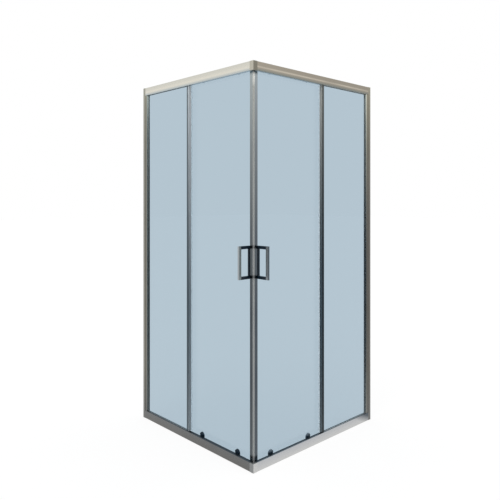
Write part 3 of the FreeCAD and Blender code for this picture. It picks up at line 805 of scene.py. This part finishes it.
def handle_finish(name, to_x, to_y):
    finish = Finish(name)
    spot = finish.place()
    normal = finish.parts("Normal")
    is_grip = spot[1].math("LESS_THAN", GRIP_BACK)
    brush = finish.noise(spot, (500.0, 500.0, 8.0))
    smear = finish.even_noise(spot, 40.0, 4.0)
    # painted reflection: one tone for faces towards X and one towards Y
    chrome = finish.blend(brush * 0.2, finish.blend(normal * normal, to_y, to_x), to_x)
    dark = finish.blend(smear, tone(14, 32, 46), tone(24, 43, 58))
    shader = finish.principled(
        {
            "Base Color": finish.blend(is_grip, dark, chrome),
            "Metallic": is_grip,
            "Roughness": smear * 0.1 + 0.18,
            "Specular IOR Level": 0.15,
            "Normal": finish.bump(brush, 0.05),
        }
    )
    return finish.surface(shader)


# painted reflection, lighter on the left handle than on the right
dress(["handle_left"], handle_finish("handle_left", tone(160, 166, 169), tone(112, 122, 125)))
dress(["handle_right"], handle_finish("handle_right", tone(128, 134, 138), tone(66, 76, 84)))

# %% [markdown]
# ## Small metal
# Screws and springs are plated steel. The caps on the cabin side are chromed. Both
# finishes are the same formula: two close tones, and a bump as fine as turning marks.

# %% Small metal finishes
PLATING_SPREAD = 0.12  # how much the plating's roughness varies


def plated(name, dark, light, roughness):
    finish = Finish(name)
    spot = finish.place()
    cloud = finish.even_noise(spot, 120.0, 4.0)
    turning = finish.even_noise(spot, 1500.0)
    shader = finish.principled(
        {
            "Base Color": finish.blend(cloud, dark, light),
            "Metallic": 1.0,
            "Roughness": cloud * PLATING_SPREAD + (roughness - PLATING_SPREAD / 2),
            "Normal": finish.bump(turning, 0.05, 0.0001),
        }
    )
    return finish.surface(shader)


steel = plated("plated_steel", tone(150, 152, 154), tone(178, 180, 182), 0.35)
cap_chrome = plated("cap_chrome", tone(176, 180, 184), tone(206, 209, 212), 0.14)
dress(["frame_screws"], steel)

# %% [markdown]
# ## Turned pieces
# The solids of wheels, caps and studs have flat sides, which is enough for a
# simulation. On show they should be round, with the small radii a lathe or a mould
# leaves. A turned piece is one outline spun about its axis. Blender's Screw or Spin
# could turn it, but plain lists of points keep every face known and closed.


# %% Spinning an outline
ROUND_STEPS = 40  # corners of a ring


def side_point(side, a, e, z):
    """A point from its place on a side, in millimetres: along it, its depth, its height."""
    along, depth = OUTER_FACE + a / 1000, OUTER_FACE + e / 1000
    if side == "left":
        along, depth = depth, along
    return Vector((along, depth, z / 1000))


def spun(side, outline, a, z, steps=ROUND_STEPS):
    """Vertices and faces of an outline of (depth, radius) turned about (a, z)."""
    rings, points, faces = [], [], []
    for depth, radius in outline:
        count = steps if radius > 0 else 1
        rings.append(range(len(points), len(points) + count))
        for step in range(count):
            angle = 2 * math.pi * step / steps
            across, up = radius * math.cos(angle), radius * math.sin(angle)
            points.append(side_point(side, a + across, depth, z + up))
    closed = outline[0][1] > 0
    pairs = zip(rings, rings[1:] + (rings[:1] if closed else []))
    for first, second in pairs:
        for step in range(steps):
            after = (step + 1) % steps
            corners = [first[step % len(first)], first[after % len(first)]]
            corners += [second[after % len(second)], second[step % len(second)]]
            faces.append(list(dict.fromkeys(corners)))
    if side == "left":
        faces = [face[::-1] for face in faces]
    return points, faces


print("the free corner is at", [round(part, 4) for part in side_point("right", 0, 0, 0)])

# %% [markdown]
# ## From lists to pieces
# Several turned forms can share one object, as the four caps of a door do. Each new
# piece rides on the body that its solid belongs to, and takes that solid's place.
# A cap's rim and crown are a quarter of an ellipse, which is what a pressed cap has.

# %% Making a piece
SHARP_ANGLE = 35  # degrees between faces from which an edge stays sharp


def piece(name, parts, materials, body, replaced, picks=None):
    """One object from several point and face lists, riding on a body."""
    points, faces, marks = [], [], []
    for index, (some_points, some_faces) in enumerate(parts):
        start = len(points)
        points += some_points
        faces += [[start + corner for corner in face] for face in some_faces]
        marks += [picks[index] if picks else 0] * len(some_faces)
    mesh = bpy.data.meshes.new(name)
    mesh.from_pydata(points, [], faces)
    for material in materials:
        mesh.materials.append(material)
    mesh.polygons.foreach_set("material_index", marks)
    mesh.shade_smooth()
    mesh.set_sharp_from_angle(angle=math.radians(SHARP_ANGLE))
    made = bpy.data.objects.new(name, mesh)
    bpy.context.scene.collection.objects.link(made)
    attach(made, body)
    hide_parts(replaced)
    return made


def rounded(start, rise, radius, crown, steps=5):
    """Outline of a cap's rim and crown, from its foot to its middle."""
    outline = [(start, radius), (start + rise * (1 - crown), radius)]
    for step in range(1, steps + 1):
        angle = math.pi / 2 * step / steps
        height = 1 - crown + crown * math.sin(angle)
        outline.append((start + rise * height, radius * math.cos(angle)))
    outline[-1] = (start + rise, 0)
    return outline


print("a cap's outline has", len(rounded(0, 1, 1, 0.5)), "points")

# %% [markdown]
# ## Caps and studs
# On the cabin side of each door four small caps hide the screws of the handle and of
# the two housings, and two wide studs clamp the carriages. More caps sit on the posts
# at the wall, at three heights. The numbers are the part's own, in millimetres.

# %% Where they sit
HANGERS = (137.0, 402.0)  # along the side
GLASS_FRONT, GLASS_BACK = 31.0, 36.0
HANDLE_MIDDLE = 57.75
HANDLE_SCREWS = (875.0, 1003.0)
HANDLE_SCREW_TIP = GLASS_FRONT - 3.9
RELEASE_SCREW = 36.0
RELEASE_SCREW_TIP = 27.05
STUD_HEIGHT = 1822.7
PLATE_FRONT = 27.8
CHANNEL_BACK = 19.5
POST_MIDDLE = 886.5
POST_SCREWS = (222.0, 925.0, 1628.0)  # at 12, 50 and 88% of the height
print("caps at", HANDLE_SCREWS, "and", RELEASE_SCREW, "mm, posts' at", POST_SCREWS)

# %% Caps of the doors
SCREW_RADIUS = 1.95
CAP = {"rise": 4.5, "radius": 5.4, "crown": 0.72}
STUD_HEAD, STUD_NECK, STUD_THICKNESS = 6.0, 4.0, 2.4  # two radii and the head's depth
STUD_BEVEL = (0.5, 0.6)  # in depth and in radius
STUD_CAP = {"rise": 6.5, "radius": 10.0, "crown": 0.5}


def capped_screw(side, a, z, tip):
    shank = [(tip, 0), (tip, SCREW_RADIUS), (GLASS_BACK, SCREW_RADIUS)]
    return spun(side, shank + rounded(GLASS_BACK, **CAP), a, z)


def stud(side, a):
    front = PLATE_FRONT - STUD_THICKNESS
    body = [
        (front, 0),
        (front, STUD_HEAD - STUD_BEVEL[1]),
        (front + STUD_BEVEL[0], STUD_HEAD),
        (PLATE_FRONT, STUD_HEAD),
        (PLATE_FRONT, STUD_NECK),
        (GLASS_BACK, STUD_NECK),
    ]
    return spun(side, body + rounded(GLASS_BACK, **STUD_CAP), a, STUD_HEIGHT)


for side in SIDES:
    screws = [capped_screw(side, HANDLE_MIDDLE, z, HANDLE_SCREW_TIP) for z in HANDLE_SCREWS]
    screws += [capped_screw(side, a, RELEASE_SCREW, RELEASE_SCREW_TIP) for a in HANGERS]
    door = side + "_door"
    piece("caps_" + side, screws, [cap_chrome], door, "cap_screws_" + side)
    studs = [stud(side, a) for a in HANGERS]
    piece("studs_" + side, studs, [cap_chrome], door, "carriage_studs_" + side)
    print(len(screws), "caps and", len(studs), "studs on the", side, "door")

# %% Caps of the posts
POST_CAP = {"rise": 2.2, "radius": 5.0, "crown": 0.8}
POST_TIP, POST_SHANK = CHANNEL_BACK - 5.0, 1.8

post_screw = [(POST_TIP, 0), (POST_TIP, POST_SHANK), (CHANNEL_BACK, POST_SHANK)]
post_screw += rounded(CHANNEL_BACK, **POST_CAP)
post_caps = [spun(side, post_screw, POST_MIDDLE, z) for side in SIDES for z in POST_SCREWS]
piece("post_caps", post_caps, [cap_chrome], "root", "post_screws")
print(len(post_caps), "caps on the posts")

# %% [markdown]
# ## Wheels
# A nylon wheel with a groove rolls on the rail's ridge. Its rim is rounded, its web
# is thinner than its rim, and a steel bush sits in its hub. Rim and bush are two
# closed outlines spun about the axle, so that the wheel's section is a true one.

# %% Wheels
WHEEL_FRONT, WHEEL_BACK = 20.6, 27.0
GROOVE_HALF = 1.28  # half the width of the groove's floor
BEVEL, SHOULDER = 0.5, 0.9  # a rim's rounded edge, and where its groove begins
HUB_WALL, WEB_LIP = 1.6, 1.5  # thickness round the axle, and of the rim over the web
BUSH_PLAY = 0.05
HANGER_STEP = 15.0  # a carriage's wheels stand this far before and behind its stud
UPPER_WHEEL = {"z": 1836.7, "radius": 11.0, "groove": 9.5, "axle": 3.0}
LOWER_WHEEL = {"z": 16.3, "radius": 8.0, "groove": 6.5, "axle": 2.0}


def tyre_outline(radius, groove, hub):
    """Rim, groove, web and hub of a wheel, all round its section."""
    front, back = WHEEL_FRONT, WHEEL_BACK
    middle = (front + back) / 2
    web = (radius - groove) * 0.6  # how deep the web lies behind the rim
    return [
        (front, radius - BEVEL),
        (front + BEVEL, radius),
        (front + SHOULDER, radius),
        (middle - GROOVE_HALF, groove),
        (middle + GROOVE_HALF, groove),
        (back - SHOULDER, radius),
        (back - BEVEL, radius),
        (back, radius - BEVEL),
        (back, groove - SHOULDER),
        (back - web, groove - WEB_LIP),
        (back - web, hub + BEVEL),
        (back, hub),
        (front, hub),
        (front + web, hub + BEVEL),
        (front + web, groove - WEB_LIP),
        (front, groove - SHOULDER),
    ]


def bush_outline(hub, bore):
    return [(WHEEL_FRONT, hub), (WHEEL_BACK, hub), (WHEEL_BACK, bore), (WHEEL_FRONT, bore)]


def wheel(name, side, a, replaced, z, radius, groove, axle):
    hub = axle + HUB_WALL
    tyre = spun(side, tyre_outline(radius, groove, hub), a, z)
    bush = spun(side, bush_outline(hub, axle + BUSH_PLAY), a, z)
    piece(name, [tyre, bush], [nylon, steel], replaced, replaced, [0, 1])


for side in SIDES:
    places = [a + step for a in HANGERS for step in (-HANGER_STEP, HANGER_STEP)]
    for number, a in enumerate(places, start=1):
        row = f"{number}_{side}"
        wheel("upper_roller_" + row, side, a, "upper_wheel_" + row, **UPPER_WHEEL)
    for number, a in enumerate(HANGERS, start=1):
        row = f"{number}_{side}"
        wheel("lower_roller_" + row, side, a, "lower_wheel_" + row, **LOWER_WHEEL)
    print(len(places), "upper and", len(HANGERS), "lower wheels on the", side, "door")

# %% [markdown] ## Release springs Behind each release button a small coil spring
# holds the lower roller up against the rail's ridge.

# %% A coil
SPRING_LOW, SPRING_HIGH, SPRING_DEPTH = 39.02, 46.58, 28.5
COIL_RADIUS, WIRE_RADIUS, TURNS = 1.15, 0.24, 7
TURN_STEPS, WIRE_SIDES = 20, 8


def coil(side, a, e):
    """Vertices and faces of a wire wound round an upright line through (a, e)."""
    points, faces = [], []
    steps = TURNS * TURN_STEPS
    rise = (SPRING_HIGH - SPRING_LOW - 2 * WIRE_RADIUS) / steps
    for step in range(steps + 1):
        angle = 2 * math.pi * step / TURN_STEPS
        for corner in range(WIRE_SIDES):
            turn = 2 * math.pi * corner / WIRE_SIDES
            reach = COIL_RADIUS + WIRE_RADIUS * math.cos(turn)
            height = SPRING_LOW + WIRE_RADIUS + rise * step + WIRE_RADIUS * math.sin(turn)
            along, depth = a + reach * math.cos(angle), e + reach * math.sin(angle)
            points.append(side_point(side, along, depth, height))
    for step in range(steps):
        for corner in range(WIRE_SIDES):
            after = (corner + 1) % WIRE_SIDES
            low, high = step * WIRE_SIDES, (step + 1) * WIRE_SIDES
            faces.append([low + corner, low + after, high + after, high + corner])
    faces.append(list(range(WIRE_SIDES))[::-1])
    faces.append([steps * WIRE_SIDES + corner for corner in range(WIRE_SIDES)])
    if side == "right":
        faces = [face[::-1] for face in faces]
    return points, faces


print("a coil has", len(coil("left", 0, 0)[1]), "faces")

for side in SIDES:
    for number, a in enumerate(HANGERS, start=1):
        row = f"{number}_{side}"
        wound = [coil(side, a, SPRING_DEPTH)]
        door, solid = side + "_door", "release_spring_" + row
        spring = piece("coil_" + row, wound, [steel], door, solid)
        side_point(side, a, SPRING_DEPTH, SPRING_LOW)
        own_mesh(spring)

# %% [markdown]
# ## Studio floor
# The background is plain white. The floor adds a little of its own light for rays
# from the camera and from mirrors, so that it joins the white world, and it still
# takes the enclosure's soft shadow.


# %% Floor
def shown(builder):
    """1 for rays from the camera and from mirrors or glass, 0 for all others."""
    path = builder.node("ShaderNodeLightPath", out="Is Camera Ray")
    mirrors = path.math("MAXIMUM", path.of("Is Glossy Ray"))
    return mirrors.math("MAXIMUM", path.of("Is Transmission Ray"))


FLOOR_LEVELS = (0.14, 0.15)  # its own colour drifts between these greys
FLOOR_GLOW = 0.86
FLOOR_REACH, FLOOR_DROP = 30.0, 0.0005  # it lies just under the frame's base

floor_finish = Finish("pale_floor")
speck = floor_finish.even_noise(floor_finish.place(), 2.0)
greys = [(level, level, level, 1) for level in FLOOR_LEVELS]
matt = floor_finish.node(
    "ShaderNodeBsdfDiffuse", None, {"Color": floor_finish.blend(speck, *greys)}
)
strength = shown(floor_finish) * FLOOR_GLOW
glow = floor_finish.node(
    "ShaderNodeEmission", None, {"Color": (1, 1, 1, 1), "Strength": strength}
)
floor_finish.surface(floor_finish.node("ShaderNodeAddShader", None, {0: matt, 1: glow}))

floor_mesh = bpy.data.meshes.new("floor")
corners = [(-1, -1), (1, -1), (1, 1), (-1, 1)]
floor_mesh.from_pydata(
    [(u * FLOOR_REACH, v * FLOOR_REACH, -FLOOR_DROP) for u, v in corners], [], [[0, 1, 2, 3]]
)
floor_mesh.materials.append(floor_finish.material)
floor = bpy.data.objects.new("floor", floor_mesh)
bpy.context.scene.collection.objects.link(floor)
print("floor", 2 * FLOOR_REACH, "m wide")

# %% [markdown]
# ## Studio light
# The world is white to the camera and a little weaker as a light, so that pale metal
# keeps its tone. The lamps are wide suns: they light the floor evenly, so no pane
# shows a brighter floor low down, and their shadows stay soft.

# %% World
LIGHT_LEVEL = 0.7


class WorldFinish(Finish):
    """The same calls for the world's nodes."""

    def __init__(self, name):
        self.world = bpy.data.worlds.new(name)
        self.world.use_nodes = True
        self.tree = self.world.node_tree
        self.tree.nodes.clear()


studio = WorldFinish("studio")
strength = shown(studio) * (1 - LIGHT_LEVEL) + LIGHT_LEVEL
sky = studio.node("ShaderNodeBackground", None, {"Color": (1, 1, 1, 1), "Strength": strength})
studio.node("ShaderNodeOutputWorld", None, {"Surface": sky})
bpy.context.scene.world = studio.world
print("world of strength", LIGHT_LEVEL, "as a light")


# %% Lamps
def soft_sun(name, toward, strength, spread):
    """A very wide, far lamp that shines from a direction; its spread is in degrees."""
    data = bpy.data.lights.new(name, "SUN")
    data.energy = strength
    data.angle = math.radians(spread)
    lamp = bpy.data.objects.new(name, data)
    lamp.rotation_euler = Vector(toward).to_track_quat("Z", "Y").to_euler()
    bpy.context.scene.collection.objects.link(lamp)
    print(name, "of strength", strength)


soft_sun("key", (-1.0, -0.35, 1.5), 1.0, 50)
soft_sun("fill", (0.6, -1.0, 1.2), 0.4, 70)
bpy.context.scene.view_settings.view_transform = "Standard"
